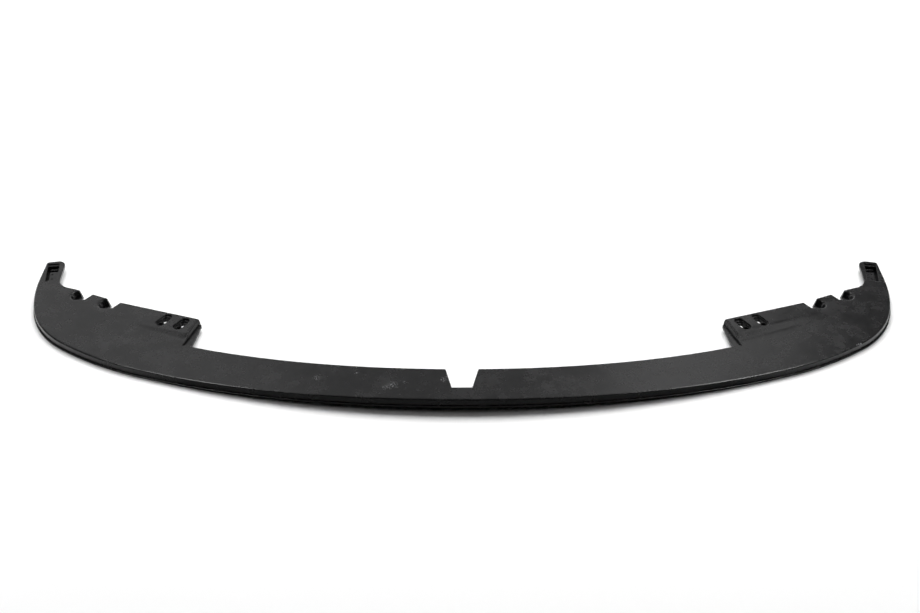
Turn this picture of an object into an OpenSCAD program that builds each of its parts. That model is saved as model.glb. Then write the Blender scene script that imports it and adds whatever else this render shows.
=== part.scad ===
// Front splitter lip for a car bumper: one moulded shell, open below and along its rear edge.
// X runs across the car, -Y is the front edge, +Z is up. The origin is the centre of the
// footprint, on the plane that the rim rests on.

/* [Outline] */
// Width over the two sides, at the bead
overall_w = 1644; // [1560:4:1720]
// Depth from the front of the bead to the tips
overall_d = 436; // [425:1:460]
// Radius of the long front edge
front_r = 1770; // [1600:10:2000]
// Radius where the front edge begins to turn
shoulder_r = 610; // [540:10:680]
// Radius of the front corners
corner_r = 190; // [150:1:220]
// Radius of the sides, behind the corners
side_r = 324; // [250:1:380]
// Heading of the edge at the start of the corner
corner_start = 35; // [31:0.5:39]
// Heading of the edge at the end of the corner
corner_end = 76.5; // [70:0.5:82]
// Depth of the middle band at the centre
band_d = 84; // [72:1:100]
// Radius of the band's rear edge
band_r = 1600; // [1400:10:1900]

/* [Section] */
// Height of the front edge
edge_h = 16; // [13:0.5:20]
// Wall thickness
wall = 4; // [3:0.25:4.5]
// Height of the rim along the open rear edges
rear_rim = 5.5; // [5:0.25:8]
// How far the bead stands out at the foot of the front edge
bead_out = 2.2; // [1:0.1:3.5]
// Height of the bead
bead_h = 3; // [2:0.1:5]
// Rise of the rim at the centre
arch_h = 13; // [0:0.5:20]
// Distance from the centre to the point where the rim meets the ground
arch_half = 600; // [500:10:680]

/* [Centre notch] */
// Width of the notch at the rear edge
notch_w_rear = 58; // [52:1:80]
// Width of the notch at its floor
notch_w_front = 36; // [30:1:50]
// Depth of the notch
notch_d = 50; // [40:1:60]
// Radius of the notch's mouth
notch_mouth_r = 3; // [1:0.5:5]

/* [Tabs] */
// Distance from the side to the tab's inner corner
tab_from_side = 338; // [310:1:360]
// How far the tab's end leans outward on its way to the band
tab_lean = 11; // [6:0.5:16]
// Length of the tab's inner end, behind the band
tab_reach = 71.5; // [64:0.5:80]
// Slope of the tab's rear edge, as rise over run
rear_slope = 0.375; // [0.35:0.005:0.4]
// Slope that the rear edge gains beyond the tab
wing_slope = 0.104; // [0.05:0.002:0.15]
// Radius of the tab's rear corner
tab_corner_r = 7; // [5:0.5:10]
// Height of the ledge round the end of the pad
ledge_h = 13; // [10:0.5:15]
// Width of the ledge at the tab's corner
ledge_w = 3.5; // [2.5:0.5:8]
// How much wider the ledge gets towards the band, for each mm
ledge_flare = 0.33; // [0.2:0.01:0.4]
// Height of the raised pad at its inner end
pad_h = 23; // [20:0.5:28]
// Distance from the pad's inner end to the point where it runs out
pad_run = 205; // [180:5:230]
// Distance of the foot of the pad's front slope from the rear edge
pad_depth = 62; // [54:1:68]
// Length of the pad's front slope at its inner end, seen from above
pad_slope = 13; // [8:1:20]
// Length of the slope at the pad's inner end, seen from above
pad_draft = 5; // [3:0.5:8]

/* [Fixing pockets] */
// Distance between the two fixing holes of a tab
hole_pitch = 37; // [34:0.5:42]
// Radius of the fixing holes
hole_r = 4.5; // [3:0.25:5]
// Distance of the holes from the rear edge
hole_inset = 20; // [18:0.5:22]
// Distance from the tab's corner to the first hole, across the car
hole_from_end = 34; // [30:0.5:38]
// Radius of the pocket's rim
pocket_r = 9.2; // [8.5:0.1:10.5]
// Radius of the upper step's opening
step_r = 7.6; // [7:0.1:8.2]
// Distance between the pocket's two round ends
pocket_len = 18; // [17:0.5:20]
// Distance from the pocket's inner round end to the fixing hole
hole_from_rim = 5; // [3:0.5:6]
// Direction of the pocket, outward and forward
pocket_angle = 55; // [45:1:65]
// Height of the upper step
step_z = 18.5; // [16.5:0.5:19.5]
// Height of the seat that the screw bears on
seat_z = 13; // [8:0.5:14.5]
// Thickness of the seat
seat_t = 2.5; // [2:0.25:4]

/* [Rear recesses] */
// Radius of the round recesses
cup_r = 13.5; // [12:0.5:14]
// Distance from the side to the inner recess
cup_from_side = 147; // [132:1:157]
// Distance between the two recesses, across the car
cup_pitch = 59; // [55:1:70]
// How much narrower a recess is at its floor, all round
cup_taper = 4; // [2:0.5:6]
// Distance of the recess centres from the rear edge
cup_inset = 16.5; // [16:0.25:19]
// Height of the recess floor
cup_floor = 3; // [2:0.25:5]
// How far the notch that opens each recess reaches past its centre, towards the car's middle
vee_reach = 16.5; // [14:0.5:19]
// How far the bottom of that notch lies in front of the recess centre
vee_d = 12.5; // [10:0.5:14]
// Direction of the notch's slanting side, seen from above
vee_angle = 127; // [118:1:135]

/* [Tips] */
// Width of a tip
tip_w = 38; // [36:1:42]
// Length of the tip, from its end to the wing
tip_len = 81; // [76:1:90]
// Slant of the tip's end
tip_tilt = 11; // [6:0.5:14]
// Radius in the corner where the tip leaves the wing
tip_root_r = 30; // [22:1:34]
// Radius of the tip's inner end corner
tip_in_r = 14; // [10:0.5:16]
// Radius of the tip's outer end corner
tip_out_r = 6; // [5:0.5:9]
// Length of the pocket in the tip
tip_pocket_l = 58; // [54:1:60]
// Width of the pocket in the tip
tip_pocket_w = 22; // [19:0.5:23]
// Angle by which the pocket leans outward
tip_lean = 7; // [4:0.5:9]
// Width of the deep slot in that pocket
tip_slot_w = 5.2; // [4:0.1:6]
// Depth of the shelf beside the slot
tip_shelf_depth = 4.5; // [3:0.25:6]
// Length of that shelf
tip_shelf_l = 33; // [28:1:34]

/* [Hidden] */
colour = "#232425";

arc_step = 3;          // angle between points on the small arcs
over = 1;              // overshoot of a cut past a face
tall = 60;             // higher than anything on the part
beyond = 30;           // reach of a piece past the edge that trims it
side_x = overall_w / 2 - bead_out;
tab_x = overall_w / 2 - tab_from_side;
cup_x = overall_w / 2 - cup_from_side;
tip_y = overall_d - bead_out;

// rim height above the ground at a distance x from the centre
function rise(x) = let (t = min(1, abs(x) / arch_half)) arch_h * pow(1 - t * t, 2);

// The front edge is four arcs, each with its radius and the heading at which it ends. The first
// heading is the one that brings the side to its place.
radii = [front_r, shoulder_r, corner_r, side_r];
arc_steps = [1.5, 2, arc_step, arc_step];
front_end = asin((side_x - side_r - (corner_r - side_r) * sin(corner_end)
    - (shoulder_r - corner_r) * sin(corner_start)) / (front_r - shoulder_r));
headings = [0, front_end, corner_start, corner_end, 90];
function heading_to(a) = [sin(a), -cos(a)];
function arc_centre(k) = k == 0 ? [0, front_r]
    : arc_centre(k - 1) + (radii[k - 1] - radii[k]) * heading_to(headings[k]);

// front edge from the centre to the tip, moved outward by o
function front_half(o) = concat([[0, -o]],
    [for (k = [0:3]) let (turn = headings[k + 1] - headings[k], n = ceil(turn / arc_steps[k]))
        for (i = [1:1:n]) arc_centre(k) + (radii[k] + o) * heading_to(headings[k] + turn * i / n)]
);

// y of the band's rear edge at x
function band_y(x) = band_d + band_r - sqrt(band_r * band_r - x * x);

// y of the rear edge of a tab and wing: two straight lines that meet at the inner recess
band_end_x = tab_x + tab_lean;
tab_y = band_y(band_end_x) + tab_reach;
knee_x = cup_x - cup_r - vee_reach;
function rear_y(x) = tab_y + (x - tab_x) * rear_slope + max(0, x - knee_x) * wing_slope;

function mirrored(points) = [for (i = [len(points) - 1:-1:0]) [-points[i].x, points[i].y]];
function unit(v) = v / norm(v);

// points of a corner at b, between a and c, rounded to radius r
function corner(a, b, c, r) =
    let (u = unit(a - b), v = unit(c - b), half = acos(u * v) / 2)
    let (mid = b + unit(u + v) * r / sin(half))
    let (from = b + u * r / tan(half) - mid, turn = 180 - 2 * half)
    let (side = sign(u.x * v.y - u.y * v.x), n = max(2, ceil(turn / (arc_step * 3))))
    r == 0 ? [b] : [for (i = [0:1:n])
        let (t = -side * turn * i / n)
        mid + [from.x * cos(t) - from.y * sin(t), from.x * sin(t) + from.y * cos(t)]];

// a run of straight sides with rounded corners; each point is [x, y, radius]
function rounded(p) = [for (i = [1:1:len(p) - 2]) each corner(
    [p[i - 1].x, p[i - 1].y], [p[i].x, p[i].y], [p[i + 1].x, p[i + 1].y], p[i].z)];

// an outline moved inward by d, each corner along its bisector
function inset(p, d) = [for (i = [0:1:len(p) - 1])
    let (before = unit(p[i] - p[(i + len(p) - 1) % len(p)]), after = unit(p[(i + 1) % len(p)] - p[i]))
    let (m = [-before.y, before.x], n = [-after.y, after.x])
    p[i] + (m + n) * d / (1 + m * n)];

// The tip's end slants, and its inner corner is rounded so that the arc's top is at tip_y.
tip_in_x = side_x - tip_w;
tip_peak = tip_y + tip_in_r * (tan(tip_tilt) + 1 / cos(tip_tilt) - 1);
side_lean = 1.5;       // how far the side leans in towards the tip's end
tip_spread = 3;        // how far the tip's inner side leans out towards its end
wing_end = cup_x + cup_pitch + cup_r * 0.4;
wing_end_r = 8;

// tip, rear edge and tab, from the side to the band
rear_half = rounded([
    [side_x, arc_centre(3).y, 0],
    [side_x - side_lean, tip_peak - (tip_w - side_lean) * tan(tip_tilt), tip_out_r],
    [tip_in_x, tip_peak, tip_in_r],
    [tip_in_x - tip_spread, tip_y - tip_len, tip_root_r],
    [wing_end, rear_y(wing_end), wing_end_r],
    [knee_x, rear_y(knee_x), 0],
    [tab_x, tab_y, tab_corner_r],
    [band_end_x, band_y(band_end_x), 0],
    [0, band_d, 0]
]);

// Rear edge of the band, from the tab to the centre. It runs straight past the notch's mouth.
band_steps = 11;
mouth_x = notch_w_rear / 2;
straight_x = mouth_x + 4 * notch_mouth_r;
straight_end = [straight_x, band_y(straight_x)];
band_half = concat([for (i = [band_steps - 1:-1:0])
    let (x = straight_x + (band_end_x - straight_x) * i / band_steps) [x, band_y(x)]], [[0, band_d]]);

half_outline = concat(front_half(0), rear_half, band_half);
outline = concat(
    half_outline,
    [for (i = [1:1:len(half_outline) - 2]) mirrored(half_outline)[i]]
);
inner_outline = inset(outline, wall);

// space behind the front and side walls, open to the rear
open_x = side_x - side_lean - wall;
open_half = concat(front_half(-wall), [[open_x, tip_y], [open_x, tip_y + beyond]]);
open_outline = concat(
    open_half,
    [for (i = [0:1:len(open_half) - 2]) mirrored(open_half)[i]]
);

// The notch, with its mouth rounded into the band's edge. The wall round it is cut plainly.
mouth = [mouth_x, band_d + (straight_end.y - band_d) * mouth_x / straight_x];
notch_corner = [notch_w_front / 2, band_d - notch_d];
mouth_arc = corner(notch_corner, mouth, straight_end, notch_mouth_r);
notch_side = concat([notch_corner], mouth_arc, [mouth_arc[len(mouth_arc) - 1] + [0, 2 * over]]);
notch_outline = concat(notch_side, mirrored(notch_side));
plain_side = [notch_corner, mouth];
notch_wall = inset(concat(plain_side, mirrored(plain_side)), -wall);

// a layer that follows the arch, between two heights above the rim
module layer(low, high) {
    xs = [for (i = [-20:1:20]) arch_half * i / 20];
    half = overall_w / 2 + over;
    profile = concat(
        [[-half, low]], [for (x = xs) [x, low + rise(x)]], [[half, low]],
        [[half, high]], [for (i = [40:-1:0]) [xs[i], high + rise(xs[i])]], [[-half, high]]
    );
    translate([0, overall_d + over, 0]) rotate([90, 0, 0])
        linear_extrude(overall_d + 3 * over) polygon(profile);
}

module both_sides() {
    children();
    mirror([1, 0, 0]) children();
}

// the line along which the pad's inner end stands on the ledge
function pad_end_x(y) = tab_x + ledge_w + (tab_y - y) * ledge_flare;
pad_end = pad_end_x(tab_y - pad_depth);
pad_out = pad_end + pad_run;
function pad_z(x) = pad_h - (pad_h - edge_h) * (x - pad_end) / pad_run;

// The raised pad: a sloping table whose front and inner end slope down into the wing. It reaches
// past the rear edge, and the outline trims it. The pad is lowered and drawn in by d.
pad_foot = ledge_h - 1;
pad_back = tab_y + beyond;
pad_lean = pad_draft / (pad_h - pad_foot);
speck = 0.02;
function pad_front_y(x, z) = rear_y(x) - pad_depth + pad_slope * (z - edge_h) / (pad_h - edge_h);
function pad_side_x(y, z) = pad_end_x(y) + pad_lean * (z - edge_h);
module pad(d) {
    front_top = pad_front_y(pad_end, pad_h);
    front_foot = pad_front_y(pad_end, pad_foot);
    out_foot = pad_front_y(pad_out, pad_foot);
    out_top = pad_front_y(pad_out, edge_h);
    back_z = pad_z(pad_end_x(pad_back));
    corners = [
        [pad_side_x(front_top, pad_h) + d, front_top + d, pad_h - d],
        [pad_side_x(front_foot, pad_foot) + d, front_foot + d, pad_foot - d],
        [pad_side_x(pad_back, back_z) + d, pad_back, back_z - d],
        [pad_side_x(pad_back, pad_foot) + d, pad_back, pad_foot - d],
        [pad_out, out_top + d, edge_h - d],
        [pad_out, out_foot + d, pad_foot - d],
        [pad_out, out_top + pad_depth + beyond, edge_h - d],
        [pad_out, out_top + pad_depth + beyond, pad_foot - d]
    ];
    hull() for (c = corners) translate(c) cube(speck, center = true);
}

// the region over the ledge at the tab's inner end, cut away down to the ledge
ledge_start = band_y(band_end_x) + 4;
module ledge_space(floor_z, grow) {
    y_front = ledge_start - grow;
    translate([0, 0, floor_z]) linear_extrude(tall) polygon([
        [tab_x - beyond, y_front],
        [pad_end_x(y_front) + grow, y_front],
        [pad_end_x(pad_back) + grow, pad_back],
        [tab_x - beyond, pad_back]
    ]);
}

// centre of the fixing hole, first the inner one, then the outer one
hole_step = hole_pitch / sqrt(1 + rear_slope * rear_slope);
function hole_at(i) = let (x = tab_x + hole_from_end + i * hole_step)
    [x, rear_y(x) - hole_inset];
forward = [cos(pocket_angle), -sin(pocket_angle)];

// a slot with round ends, from the point at to a point run further along the pocket
module slot(r, run) {
    cylinder(r = r, h = tall, $fn = 48);
    translate([run * forward.x, run * forward.y, 0]) cylinder(r = r, h = tall, $fn = 48);
    rotate(-pocket_angle) translate([0, -r, 0]) cube([run, 2 * r, tall]);
}

// Stepped pocket with its fixing hole, cut from above; its origin is the hole's centre. Two round
// wells stand in the middle step: one over the fixing hole, and a blind, deeper one.
middle_z = (step_z + seat_z) / 2;
middle_from = -2;
blind_at = pocket_len - hole_from_rim;
middle_len = blind_at + 1;
well_r = step_r - 1.6;
blind_r = step_r - 1.75;
blind_z = seat_z - 3;
module pocket() {
    translate([0, 0, step_z]) translate(-hole_from_rim * forward) slot(pocket_r, pocket_len);
    translate([0, 0, middle_z]) translate(middle_from * forward) slot(step_r, middle_len);
    translate([0, 0, seat_z]) cylinder(r = well_r, h = tall, $fn = 48);
    translate([0, 0, blind_z]) translate(blind_at * forward) cylinder(r = blind_r, h = tall, $fn = 48);
    translate([0, 0, -over]) cylinder(r = hole_r, h = tall, $fn = 48);
}

// wall round a pocket, under the pad
module pocket_wall() {
    translate([0, 0, step_z - seat_t]) translate(-hole_from_rim * forward)
        slot(pocket_r + seat_t, pocket_len);
    translate([0, 0, seat_z - seat_t]) translate(middle_from * forward)
        slot(step_r + seat_t, middle_len);
    translate([0, 0, blind_z - seat_t]) translate(blind_at * forward)
        cylinder(r = blind_r + seat_t, h = tall, $fn = 48);
}

function cup_at(i) = let (x = cup_x + i * cup_pitch) [x, rear_y(x) - cup_inset];

// outline of the notch that opens a recess to the rear, counted from the recess centre
vee_side = 3 * vee_d;
vee_back = 3 * cup_inset;
vee_outline = [
    [-vee_reach, -vee_d],
    [0, -vee_d],
    [cup_r, vee_back],
    [-vee_reach + vee_side * cos(vee_angle), -vee_d + vee_side * sin(vee_angle)]
];

// The wall behind a recess ends in an edge that slants down towards the car's middle.
vee_tilt = 22;
module vee(grow) {
    intersection() {
        translate([0, 0, -over]) linear_extrude(tall) polygon(inset(vee_outline, -grow));
        translate([grow, 0, edge_h]) rotate([0, vee_tilt, 0]) translate([-2 * tall, -tall, -tall])
            cube([2 * tall, 3 * tall, 3 * tall]);
    }
}

// a round recess with a tapering wall
module cup() {
    depth = edge_h - cup_floor;
    translate([0, 0, cup_floor])
        cylinder(r1 = cup_r - cup_taper, r2 = cup_r + cup_taper, h = 2 * depth, $fn = 64);
    vee(0);
}

module cup_wall() {
    skin = wall * 0.75;
    translate([0, 0, -over]) cylinder(r = cup_r + skin, h = tall, $fn = 64);
    vee(skin);
}

// Pocket in the tip: a shelf with a deep slot along its outer side. Behind the shelf are two pits
// with a rib between them, and a step at the back. Two small blind holes are in the shelf.
tip_pocket_at = [side_x - 12.5, tip_y - tip_pocket_l - 10];
shelf_z = edge_h - tip_shelf_depth;
shelf_from = 2;
pit_from = tip_shelf_l + 3;
pit_l = 6;
rib_t = 3;
back_step_l = 5;
back_step_z = edge_h - 2.5;
deep_l = tip_pocket_l - back_step_l;
tip_wall = 2;
pin_hole_r = 1.5;
pin_hole_z = shelf_z - 3;
pin_holes = [[-11, 13], [-10, 28]];
module tip_pocket() {
    module cut(width, from, to, floor_z) {
        translate([-width, from, floor_z]) cube([width, to - from, tall]);
    }
    translate(tip_pocket_at) rotate(-tip_lean) {
        cut(tip_slot_w, 0, deep_l, cup_floor);
        cut(tip_pocket_w, shelf_from, deep_l, shelf_z);
        cut(tip_pocket_w, pit_from, pit_from + pit_l, cup_floor);
        cut(tip_pocket_w, pit_from + pit_l + rib_t, deep_l, cup_floor);
        cut(tip_pocket_w, deep_l - over, tip_pocket_l, back_step_z);
        for (p = pin_holes)
            translate([p.x, p.y, pin_hole_z]) cylinder(r = pin_hole_r, h = tall, $fn = 24);
    }
}

// block that the tip's pocket is cut from
module tip_block() {
    translate(tip_pocket_at) rotate(-tip_lean) translate([-tip_pocket_w - tip_wall, -tip_wall, -over])
        cube([tip_pocket_w + tip_wall + 2 * wall, deep_l + 2 * tip_wall, tall]);
}

// the bead, let into the wall behind it
bead_front = front_half(bead_out);
bead_back = front_half(-wall / 2);
bead_outline = concat(bead_front, [for (i = [len(bead_back) - 1:-1:0]) bead_back[i]]);

module outer_shell() {
    difference() {
        intersection() {
            linear_extrude(tall) polygon(outline);
            union() {
                layer(0, edge_h);
                both_sides() pad(0);
            }
        }
        both_sides() ledge_space(ledge_h, 0);
    }
    intersection() {
        both_sides() linear_extrude(tall) polygon(bead_outline);
        layer(0, bead_h);
    }
}

// the space under a ceiling that follows the top at a depth d
module under(d, space_outline) {
    intersection() {
        translate([0, 0, -over]) linear_extrude(tall) polygon(space_outline);
        union() {
            layer(-2 * over, edge_h - d);
            both_sides() pad(d);
        }
    }
}

// the space inside the shell, open below, and to the rear under the rim
module hollow() {
    difference() {
        union() {
            under(wall, inner_outline);
            under(rear_rim, open_outline);
        }
        linear_extrude(tall) polygon(notch_wall);
        both_sides() {
            ledge_space(ledge_h - rear_rim, wall);
            for (i = [0:1]) {
                translate(hole_at(i)) pocket_wall();
                translate(cup_at(i)) cup_wall();
            }
            tip_block();
        }
    }
}

module splitter_lip() {
    color(colour) translate([0, bead_out - overall_d / 2, 0]) difference() {
        outer_shell();
        hollow();
        both_sides() {
            for (i = [0:1]) {
                translate(hole_at(i)) pocket();
                translate(cup_at(i)) cup();
            }
            tip_pocket();
        }
        translate([0, 0, -over]) linear_extrude(tall) polygon(notch_outline);
    }
}

splitter_lip();
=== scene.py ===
import math

import bmesh
import bpy
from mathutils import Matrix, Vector


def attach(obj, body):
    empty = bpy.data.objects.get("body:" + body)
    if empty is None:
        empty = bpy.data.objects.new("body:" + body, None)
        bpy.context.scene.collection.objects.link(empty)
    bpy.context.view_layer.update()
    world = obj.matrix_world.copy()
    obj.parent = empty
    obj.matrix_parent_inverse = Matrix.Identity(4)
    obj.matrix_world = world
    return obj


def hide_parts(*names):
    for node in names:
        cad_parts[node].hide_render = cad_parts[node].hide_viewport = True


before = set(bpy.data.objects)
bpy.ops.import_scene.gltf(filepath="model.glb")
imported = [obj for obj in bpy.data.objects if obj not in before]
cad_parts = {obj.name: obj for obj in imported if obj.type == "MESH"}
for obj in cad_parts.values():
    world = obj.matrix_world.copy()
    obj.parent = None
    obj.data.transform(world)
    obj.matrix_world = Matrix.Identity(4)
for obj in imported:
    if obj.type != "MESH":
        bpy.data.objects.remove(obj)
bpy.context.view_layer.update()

# The lip is one injection moulding in black plastic, about 4 mm thick and open below. The mould
# leaves a radius on each edge: large along the front, small round the pockets and the bead.
LIP_NODE = "splitter_lip"
WELD, SLIVER = 0.00002, 0.0001
FLAT = math.radians(0.1)
SHARP = math.radians(30)
TOP_TILT, SIDE_TILT, SLOPE_TILT = 0.8, -0.3, 0.2
REARWARD = 0.3
OUTLINE_REACH = 0.004
LARGEST_RADIUS = 0.0040
FRONT_RADIUS = 0.0034
PAD_END_RADIUS = 0.0040
RECESS_RADIUS = 0.0034
REAR_RADIUS = 0.0012
BEAD_RADIUS = 0.0006
POCKET_RADIUS = 0.0011
RIM_H = 0.003
ARCH_H, ARCH_HALF = 0.013, 0.600
HOLES = ((0.518, 0.0109), (0.5526, 0.0239))
POCKET_REACH = 0.019
CUPS = ((0.675, 0.0764), (0.734, 0.1047))
CUP_REACH = 0.017
TIP_FROM_Y, TIP_SLOT_Y = 0.060, 0.130


def plan_distance(point, places):
    return min(math.hypot(abs(point.x) - x, point.y - y) for x, y in places)


def furthest(corners, direction):
    return max(corner.dot(direction) for corner in corners)


def edge_radius(edge, corners):
    """The mould radius of one edge of the lip, or zero where it stays sharp."""
    if len(edge.link_faces) != 2 or not edge.is_convex or edge.calc_face_angle(0) < SHARP:
        return 0
    middle = (edge.verts[0].co + edge.verts[1].co) / 2
    upper, side = sorted((face.normal for face in edge.link_faces), key=lambda n: -n.z)
    if upper.z < TOP_TILT or side.z < SIDE_TILT:
        return 0
    arch = ARCH_H * (1 - min(1, abs(middle.x) / ARCH_HALF) ** 2) ** 2
    if middle.z - arch < RIM_H * 1.2:
        return BEAD_RADIUS
    if plan_distance(middle, HOLES) < POCKET_REACH:
        return POCKET_RADIUS
    if plan_distance(middle, CUPS) < CUP_REACH:
        return RECESS_RADIUS
    if side.z > SLOPE_TILT:
        return PAD_END_RADIUS
    outward = Vector((side.x, side.y, 0)).normalized()
    on_outline = furthest(corners, outward) - middle.dot(outward) < OUTLINE_REACH
    if not on_outline or outward.y > REARWARD:
        return REAR_RADIUS
    along_tip = min(1, max(0, (middle.y - TIP_FROM_Y) / (TIP_SLOT_Y - TIP_FROM_Y)))
    return FRONT_RADIUS + (REAR_RADIUS - FRONT_RADIUS) * along_tip


lip_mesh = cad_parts[LIP_NODE].data.copy()
lip_mesh.materials.clear()
shape = bmesh.new()
shape.from_mesh(lip_mesh)
bmesh.ops.remove_doubles(shape, verts=shape.verts, dist=WELD)
bmesh.ops.dissolve_degenerate(shape, edges=shape.edges, dist=SLIVER)
bmesh.ops.dissolve_limit(shape, angle_limit=FLAT, verts=shape.verts, edges=shape.edges)
shape.normal_update()
corners = [Vector((v.co.x, v.co.y, 0)) for v in shape.verts]
weight = shape.edges.layers.float.new("bevel_weight_edge")
for edge in shape.edges:
    edge[weight] = edge_radius(edge, corners) / LARGEST_RADIUS

# The hard planes of the right pad, its top and its slope, are kept for the next section.
PAD_SPAN, PAD_FRONT = (0.490, 0.715), -0.030
SMALLEST_PLANE = 0.0001
SLOPE_BELOW, TOP_LEAN = 0.95, 0.03
pad_tops, pad_slopes = [], []
for face in shape.faces:
    middle = face.calc_center_bounds()
    over_pad = PAD_SPAN[0] < middle.x < PAD_SPAN[1]
    if over_pad and face.calc_area() > SMALLEST_PLANE and face.normal.z > TOP_TILT:
        plane = (face.normal.copy(), face.verts[0].co.copy())
        if face.normal.z < SLOPE_BELOW:
            pad_slopes.append(plane)
        elif face.normal.x > TOP_LEAN and middle.y > PAD_FRONT:
            pad_tops.append(plane)
shape.to_mesh(lip_mesh)
shape.free()

lip = bpy.data.objects.new("lip_moulding", lip_mesh)
bpy.context.scene.collection.objects.link(lip)


def settle_modifiers(piece):
    bpy.context.view_layer.update()
    evaluated = piece.evaluated_get(bpy.context.evaluated_depsgraph_get())
    finished = bpy.data.meshes.new_from_object(evaluated)
    piece.modifiers.clear()
    piece.data = finished


radii = lip.modifiers.new("mould_radii", "BEVEL")
radii.limit_method = "WEIGHT"
radii.width = LARGEST_RADIUS
radii.segments = 5
radii.material = 1
radii.use_clamp_overlap = False
radii.loop_slide = True
radii.face_strength_mode = "FSTR_ALL"
settle_modifiers(lip)

# The raised pads run out softly into the wings. Everything round a pad is cut into a fine grid,
# and then its hard slope is drawn out to a long soft one, in height only.
PAD_X, PAD_Y = (0.4862, 0.7500), (-0.0643, 0.1200)
GRID = 0.004
UNDER_SIDE = -0.5
WING_H, LEDGE_H, PAD_H = 0.016, 0.013, 0.023
SOFT_LIFT = 0.0024
RUN_OUT = 0.0008
STILL = 0.000001


def plane_height(planes, x, y):
    return min(p.z - (n.x * (x - p.x) + n.y * (y - p.y)) / n.z for n, p in planes)


def smooth_step(t):
    t = min(1, max(0, t))
    return t * t * (3 - 2 * t)


def pad_change(x, y):
    """The height of the surface at a place, as the mould's hard planes and as the soft pad."""
    base = WING_H + ARCH_H * (1 - min(1, x / ARCH_HALF) ** 2) ** 2
    top, slope = plane_height(pad_tops, x, y), plane_height(pad_slopes, x, y)
    share = smooth_step((slope - WING_H + SOFT_LIFT) / (PAD_H - WING_H + 2 * SOFT_LIFT))
    above = 0.5 * (top - base + math.hypot(top - base, RUN_OUT))
    return max(base, min(top, slope)), base + above * share


shape = bmesh.new()
shape.from_mesh(lip.data)
shape.normal_update()


def grid_lines(span):
    return [span[0] + step * GRID for step in range(round((span[1] - span[0]) / GRID) + 1)]


def is_moved(corner):
    hard, gentle = pad_change(abs(corner.co.x), corner.co.y)
    return abs(gentle - hard) > STILL


def round_pad(face, side):
    """Whether a face gets the grid: the tops all round a pad, and the radii that move with it."""
    xs, ys = [v.co.x * side for v in face.verts], [v.co.y for v in face.verts]
    near = (face.normal.z > UNDER_SIDE and max(v.co.z for v in face.verts) > LEDGE_H
            and max(xs) > PAD_X[0] and min(xs) < PAD_X[1]
            and max(ys) > PAD_Y[0] and min(ys) < PAD_Y[1])
    return near and (face.material_index == 0 or any(is_moved(v) for v in face.verts))


for side in (-1, 1):
    faces = [f for f in shape.faces if round_pad(f, side)]
    edges = [e for f in faces for e in f.edges]
    verts = [v for f in faces for v in f.verts]
    geometry = list(dict.fromkeys(faces + edges + verts))
    cuts = [((1, 0, 0), (side * x, 0, 0)) for x in grid_lines(PAD_X)]
    cuts += [((0, 1, 0), (0, y, 0)) for y in grid_lines(PAD_Y)]
    for across, place in cuts:
        geometry = bmesh.ops.bisect_plane(shape, geom=geometry, dist=STILL, plane_co=place,
                                          plane_no=across)["geom"]
for v in shape.verts:
    x, y, z = abs(v.co.x), v.co.y, v.co.z
    by_pad = z > LEDGE_H and x > PAD_X[0] and PAD_Y[0] < y < PAD_Y[1]
    if by_pad and any(f.normal.z > UNDER_SIDE for f in v.link_faces):
        hard, gentle = pad_change(x, y)
        v.co.z += (gentle - hard) * min(1, (z - LEDGE_H) / (hard - LEDGE_H))

# Faces of the mould radii are marked, because edges are where such a part gets rubbed.
shape.normal_update()
rubbed = shape.faces.layers.float.new("rubbed_edge")
for face in shape.faces:
    face[rubbed] = face.material_index
    face.material_index = 0
    face.smooth = True
for edge in shape.edges:
    edge.smooth = edge.calc_face_angle(0) < SHARP
shape.to_mesh(lip.data)
shape.free()
even = lip.modifiers.new("even_shading", "WEIGHTED_NORMAL")
even.keep_sharp = True
even.use_face_influence = True
settle_modifiers(lip)

# The plastic is black through and through, with a half-gloss skin from a polished mould. It is
# a little uneven in gloss, and a used part has smears, dust, rubbed edges and a few scuffs.
plastic = bpy.data.materials.new("black_plastic")
plastic.use_nodes = True
shader = plastic.node_tree.nodes["Principled BSDF"]


def place_node(owner, kind, settings=None, **inputs):
    """A new node of a material or world. An input is given by its name, or as i0, i1 and so on."""
    node = owner.node_tree.nodes.new("ShaderNode" + kind)
    for name, value in (settings or {}).items():
        setattr(node, name, value)
    for name, value in inputs.items():
        fill(owner, node, int(name[1:]) if name[1:].isdigit() else name.replace("_", " "), value)
    return node


def fill(owner, node, socket, value):
    if isinstance(value, bpy.types.NodeSocket):
        owner.node_tree.links.new(value, node.inputs[socket])
    else:
        node.inputs[socket].default_value = value


def patches(size, detail=3, roughness=0.55):
    """Soft random patches from 0 to 1, of about the given size in metres."""
    noise = place_node(plastic, "TexNoise", Vector=here, Scale=1 / size, Detail=detail,
                       Roughness=roughness)
    return noise.outputs["Fac"]


def spread(value, low, high, to_low=0, to_high=1):
    """The value between low and high drawn out to a new range, with soft ends."""
    ramp = place_node(plastic, "MapRange", {"interpolation_type": "SMOOTHSTEP"}, Value=value,
                      From_Min=low, From_Max=high, To_Min=to_low, To_Max=to_high)
    return ramp.outputs["Result"]


def combine(operation, first, second):
    return place_node(plastic, "Math", {"operation": operation}, i0=first, i1=second).outputs["Value"]


def marks(places):
    """A mask of soft round marks: each place is x, y and the reach, in metres."""
    found = 0.0
    for x, y, reach in places:
        flat = place_node(plastic, "VectorMath", {"operation": "MULTIPLY"}, i0=here, i1=(1, 1, 0))
        away = place_node(plastic, "VectorMath", {"operation": "DISTANCE"},
                          i0=flat.outputs["Vector"], i1=(x, y, 0))
        found = combine("MAXIMUM", found, spread(away.outputs["Value"], 0, reach, 1, 0))
    return found


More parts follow.
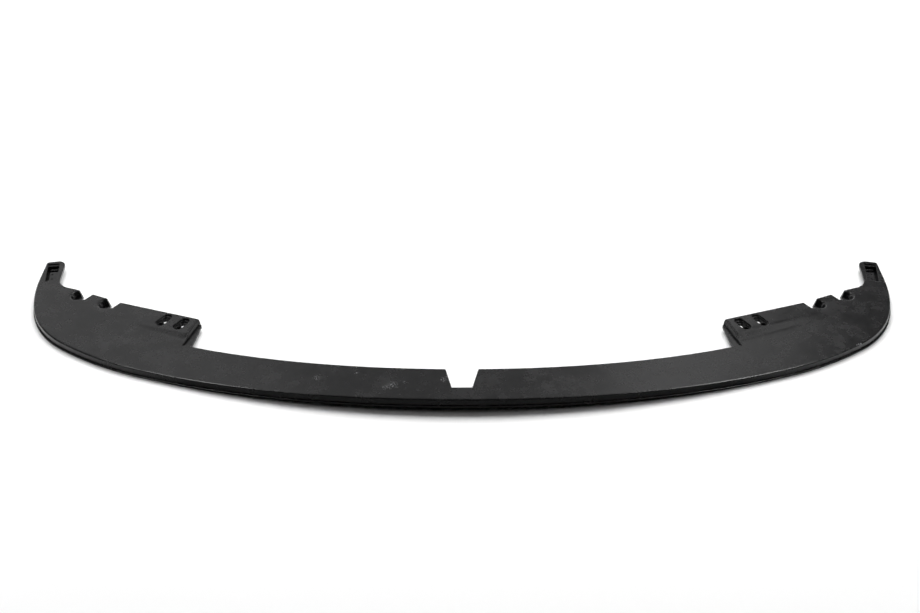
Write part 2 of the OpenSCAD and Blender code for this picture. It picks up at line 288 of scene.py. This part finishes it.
here = place_node(plastic, "TexCoord").outputs["Object"]
facing = place_node(plastic, "SeparateXYZ", Vector=place_node(plastic, "NewGeometry").outputs["Normal"])
upward = spread(facing.outputs["Z"], 0.7, 0.98)
rubbed_edge = place_node(plastic, "Attribute", {"attribute_name": "rubbed_edge"}).outputs["Fac"]

smears = spread(patches(0.030, 4), 0.40, 0.66)
cloudy = spread(patches(0.011, 3), 0.34, 0.70)
dust = combine("MULTIPLY", spread(patches(0.055, 5, 0.62), 0.42, 0.70), upward)
rubbed = combine("MULTIPLY", rubbed_edge, spread(patches(0.007, 4, 0.65), 0.40, 0.60))
# Places and reaches of the marks that this part has, as x, y and reach in metres.
SCUFFED = ((-0.122, -0.175, 0.014), (-0.135, -0.180, 0.009), (-0.032, -0.161, 0.009),
           (-0.257, -0.151, 0.009), (-0.186, -0.141, 0.007), (-0.100, -0.168, 0.006))
SPECKED = ((0.7290, -0.0425, 0.0016), (0.7245, -0.0445, 0.0012), (0.7205, -0.0470, 0.0010))
SMUDGED = ((-0.630, -0.018, 0.060), (0.150, -0.165, 0.040))
DULLED = ((0.647, -0.003, 0.016), (0.689, -0.048, 0.014), (0.118, -0.160, 0.018), (0.150, -0.172, 0.016))
scuff_grit = spread(patches(0.0022, 3), 0.55, 0.63)
scuffs = combine("MULTIPLY", scuff_grit, marks(SCUFFED))
specks = marks(SPECKED)
smudge = combine("MULTIPLY", marks(SMUDGED), smears)
dulled = combine("MULTIPLY", spread(patches(0.006, 3), 0.38, 0.60), marks(DULLED))

BARE_TONE, BLUE_SHARE, BARE_ROUGHNESS = 0.0050, 1.04, 0.215
base = BARE_TONE
for mask, lighter in ((dust, 0.0035), (smears, 0.0015), (smudge, 0.0060), (rubbed, 0.0080),
                      (scuffs, 0.16), (specks, 0.55)):
    base = combine("ADD", base, combine("MULTIPLY", mask, lighter))
blue = combine("MULTIPLY", base, BLUE_SHARE)
tint = place_node(plastic, "CombineColor", i0=base, i1=base, i2=blue)
plastic.node_tree.links.new(tint.outputs["Color"], shader.inputs["Base Color"])

gloss = BARE_ROUGHNESS
for mask, rougher in ((smears, 0.045), (cloudy, 0.035), (dust, 0.040), (dulled, 0.16),
                      (scuffs, 0.25), (rubbed, -0.040)):
    gloss = combine("ADD", gloss, combine("MULTIPLY", mask, rougher))
plastic.node_tree.links.new(gloss, shader.inputs["Roughness"])

swell = place_node(plastic, "Bump", Strength=0.6, Distance=0.00012, Height=patches(0.045, 2))
orange_peel = place_node(plastic, "Bump", Strength=0.5, Distance=0.000020, Height=patches(0.0030, 2),
                         Normal=swell.outputs["Normal"])
grain = place_node(plastic, "Bump", Strength=0.5, Distance=0.000006, Height=patches(0.0007, 2),
                   Normal=orange_peel.outputs["Normal"])
plastic.node_tree.links.new(grain.outputs["Normal"], shader.inputs["Normal"])
lip.data.materials.clear()
lip.data.materials.append(plastic)

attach(lip, "root")
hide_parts(LIP_NODE)

# The floor is a sheet of white paper, far larger than the view. In the gloss of the lip, painted shade
# greys the paper in front of the band and dims it behind, and painted light lifts it above white past
# the corners, where open light falls.
FLOOR_HALF = 8.0
# Paper tones that only reflections see: painted shade in front of and behind the band, painted light
# past the ends.
PAINTED_SHADE_IN_FRONT, PAINTED_SHADE_BEHIND, PAINTED_LIGHT_AT_ENDS = 0.15, 0.45, 1.10
BAND_Y, ENDS_X = (-0.16, -0.06), (0.50, 0.80)
FIBRES_PER_M, PALEST = 900.0, (0.84, 0.90)
OPEN_PAPER = (1.1, 1.8)
floor_mesh = bpy.data.meshes.new("floor")
floor_mesh.from_pydata([(-FLOOR_HALF, -FLOOR_HALF, 0), (FLOOR_HALF, -FLOOR_HALF, 0),
                        (FLOOR_HALF, FLOOR_HALF, 0), (-FLOOR_HALF, FLOOR_HALF, 0)], [], [(0, 1, 2, 3)])
floor = bpy.data.objects.new("floor", floor_mesh)
bpy.context.scene.collection.objects.link(floor)
paper = bpy.data.materials.new("white_paper")
paper.use_nodes = True
sheet = paper.node_tree.nodes["Principled BSDF"]
sheet.inputs["Roughness"].default_value = 1
sheet.inputs["Specular IOR Level"].default_value = 0
on_paper = place_node(paper, "TexCoord").outputs["Object"]
fibres = place_node(paper, "TexNoise", Vector=on_paper, Scale=FIBRES_PER_M, Detail=2.0).outputs["Fac"]
white = place_node(paper, "MapRange", Value=fibres, To_Min=PALEST[0], To_Max=PALEST[1]).outputs["Result"]
where = place_node(paper, "SeparateXYZ", Vector=on_paper).outputs
# Painted reflection: glossy rays see the paper darkened by painted shade by the band, and brighter than
# white past the ends by painted light.
painted_shade_by_band = place_node(paper, "MapRange", Value=where["Y"], From_Min=BAND_Y[0], From_Max=BAND_Y[1],
                         To_Min=PAINTED_SHADE_IN_FRONT, To_Max=PAINTED_SHADE_BEHIND).outputs["Result"]
off_centre = place_node(paper, "Math", {"operation": "ABSOLUTE"}, i0=where["X"]).outputs["Value"]
painted_light_past_ends = place_node(paper, "MapRange", Value=off_centre, From_Min=ENDS_X[0],
                       From_Max=ENDS_X[1]).outputs["Result"]
painted_reflection = place_node(paper, "Mix", {"data_type": "FLOAT"}, Factor=painted_light_past_ends, A=painted_shade_by_band,
                      B=PAINTED_LIGHT_AT_ENDS).outputs["Result"]
to_gloss = place_node(paper, "LightPath").outputs["Is Glossy Ray"]
seen = place_node(paper, "Mix", {"data_type": "FLOAT"}, Factor=to_gloss, A=white,
                  B=painted_reflection).outputs["Result"]
fill(paper, sheet, "Base Color", seen)

# Away from the lip the camera sees the paper as plain white, without an edge or a horizon.
far_out = place_node(paper, "VectorMath", {"operation": "LENGTH"}, i0=on_paper).outputs["Value"]
blown_out = place_node(paper, "MapRange", {"interpolation_type": "SMOOTHSTEP"}, Value=far_out,
                       From_Min=OPEN_PAPER[0], From_Max=OPEN_PAPER[1]).outputs["Result"]
to_camera = place_node(paper, "LightPath").outputs["Is Camera Ray"]
glow = place_node(paper, "Math", {"operation": "MULTIPLY"}, i0=blown_out, i1=to_camera).outputs["Value"]
sheet.inputs["Emission Color"].default_value = (1, 1, 1, 1)
fill(paper, sheet, "Emission Strength", glow)
floor_mesh.materials.append(paper)

# Soft studio light. A broad box behind, a weak one in front and one past each end light the paper.
# The gloss of the plastic comes from white cards that only reflections see: three behind, two
# above those, and a high one on each side.
CENTRE = Vector((0, 0.05, 0))


def soft_box(name, place, width, height, radiance, lights_paper):
    """A soft box that faces the lip. It lights either the paper or the gloss, never both."""
    light = bpy.data.lights.new(name, "AREA")
    light.shape = "RECTANGLE"
    light.size, light.size_y = width, height
    light.energy = radiance * math.pi * width * height
    box = bpy.data.objects.new(name, light)
    box.location = place
    box.rotation_euler = (CENTRE - Vector(place)).to_track_quat("-Z", "Y").to_euler()
    box.visible_diffuse = lights_paper
    box.visible_glossy = not lights_paper
    bpy.context.scene.collection.objects.link(box)


soft_box("key_box", (0, 2.1, 3.15), 5.0, 2.4, 7.6, True)
soft_box("fill_box", (0, -1.5, 3.5), 3.0, 2.0, 0.35, True)
for side, name in ((-1, "left_box"), (1, "right_box")):
    soft_box(name, (side * 2.0, 0.1, 1.2), 1.2, 0.9, 2.2, True)
soft_box("back_left_card", (-2.42, 3.5, 2.2), 2.2, 4.0, 0.65, False)
soft_box("upper_left_card", (-1.4, 1.35, 3.1), 1.5, 1.8, 0.80, False)
soft_box("back_middle_card", (0, 3.5, 2.2), 2.6, 4.0, 0.34, False)
soft_box("back_right_card", (1.38, 3.5, 2.2), 0.66, 4.0, 1.02, False)
soft_box("upper_right_card", (1.5, 1.4, 3.1), 1.5, 1.8, 1.15, False)
soft_box("high_left_card", (-1.75, -0.4, 2.4), 0.9, 0.6, 15, False)
soft_box("high_right_card", (1.75, -0.4, 2.4), 0.9, 0.6, 22, False)

# Dim walls stand all round the studio, up to a quarter of the way to overhead, with a low white
# backdrop behind. Only the gloss sees them: they don't light the paper, and past the paper the
# camera sees plain white.
WALL_TOP, WALL_TONE, DARK_TONE = 0.40, 0.14, 0.008
WALL_FADE = (-0.10, 0.05)
BACKDROP_TOP, BACKDROP_FADE, BACKDROP_TONE = 0.30, 0.06, 1.3
BACKDROP_SIDES = (-0.1, 0.4)
world = bpy.data.worlds.new("studio")
bpy.context.scene.world = world
world.use_nodes = True
world.cycles_visibility.diffuse = False
outlook = place_node(world, "TexCoord").outputs["Generated"]
heading = place_node(world, "SeparateXYZ", Vector=outlook).outputs
walls = place_node(world, "MapRange", {"interpolation_type": "SMOOTHSTEP"}, Value=heading["Z"],
                   From_Min=WALL_TOP + WALL_FADE[0], From_Max=WALL_TOP + WALL_FADE[1],
                   To_Min=WALL_TONE, To_Max=DARK_TONE).outputs["Result"]
low = place_node(world, "MapRange", Value=heading["Z"], From_Min=BACKDROP_TOP,
                 From_Max=BACKDROP_TOP - BACKDROP_FADE).outputs["Result"]
rear = place_node(world, "MapRange", Value=heading["Y"], From_Min=BACKDROP_SIDES[0],
                  From_Max=BACKDROP_SIDES[1]).outputs["Result"]
backdrop = place_node(world, "Math", {"operation": "MULTIPLY"}, i0=low, i1=rear).outputs["Value"]
reflected = place_node(world, "Mix", Factor=backdrop, A=walls, B=BACKDROP_TONE).outputs["Result"]
seen_directly = place_node(world, "LightPath").outputs["Is Camera Ray"]
strength = place_node(world, "Mix", Factor=seen_directly, A=reflected, B=1.0).outputs["Result"]
background = world.node_tree.nodes["Background"]
background.inputs["Color"].default_value = (1, 1, 1, 1)
fill(world, background, "Strength", strength)
bpy.context.scene.view_settings.view_transform = "Standard"

# The camera stands at eye height in front of the lip and looks down at it.
EYE = (0, -2.0527, 1.6148)
LOOK_DOWN = 37
camera_data = bpy.data.cameras.new("camera")
camera_data.lens = 55
camera_data.sensor_width = 36
camera_data.shift_x = -2 / 920
camera = bpy.data.objects.new("camera", camera_data)
camera.location = EYE
camera.rotation_euler = (math.radians(90 - LOOK_DOWN), 0, 0)
bpy.context.scene.collection.objects.link(camera)
bpy.context.scene.camera = camera
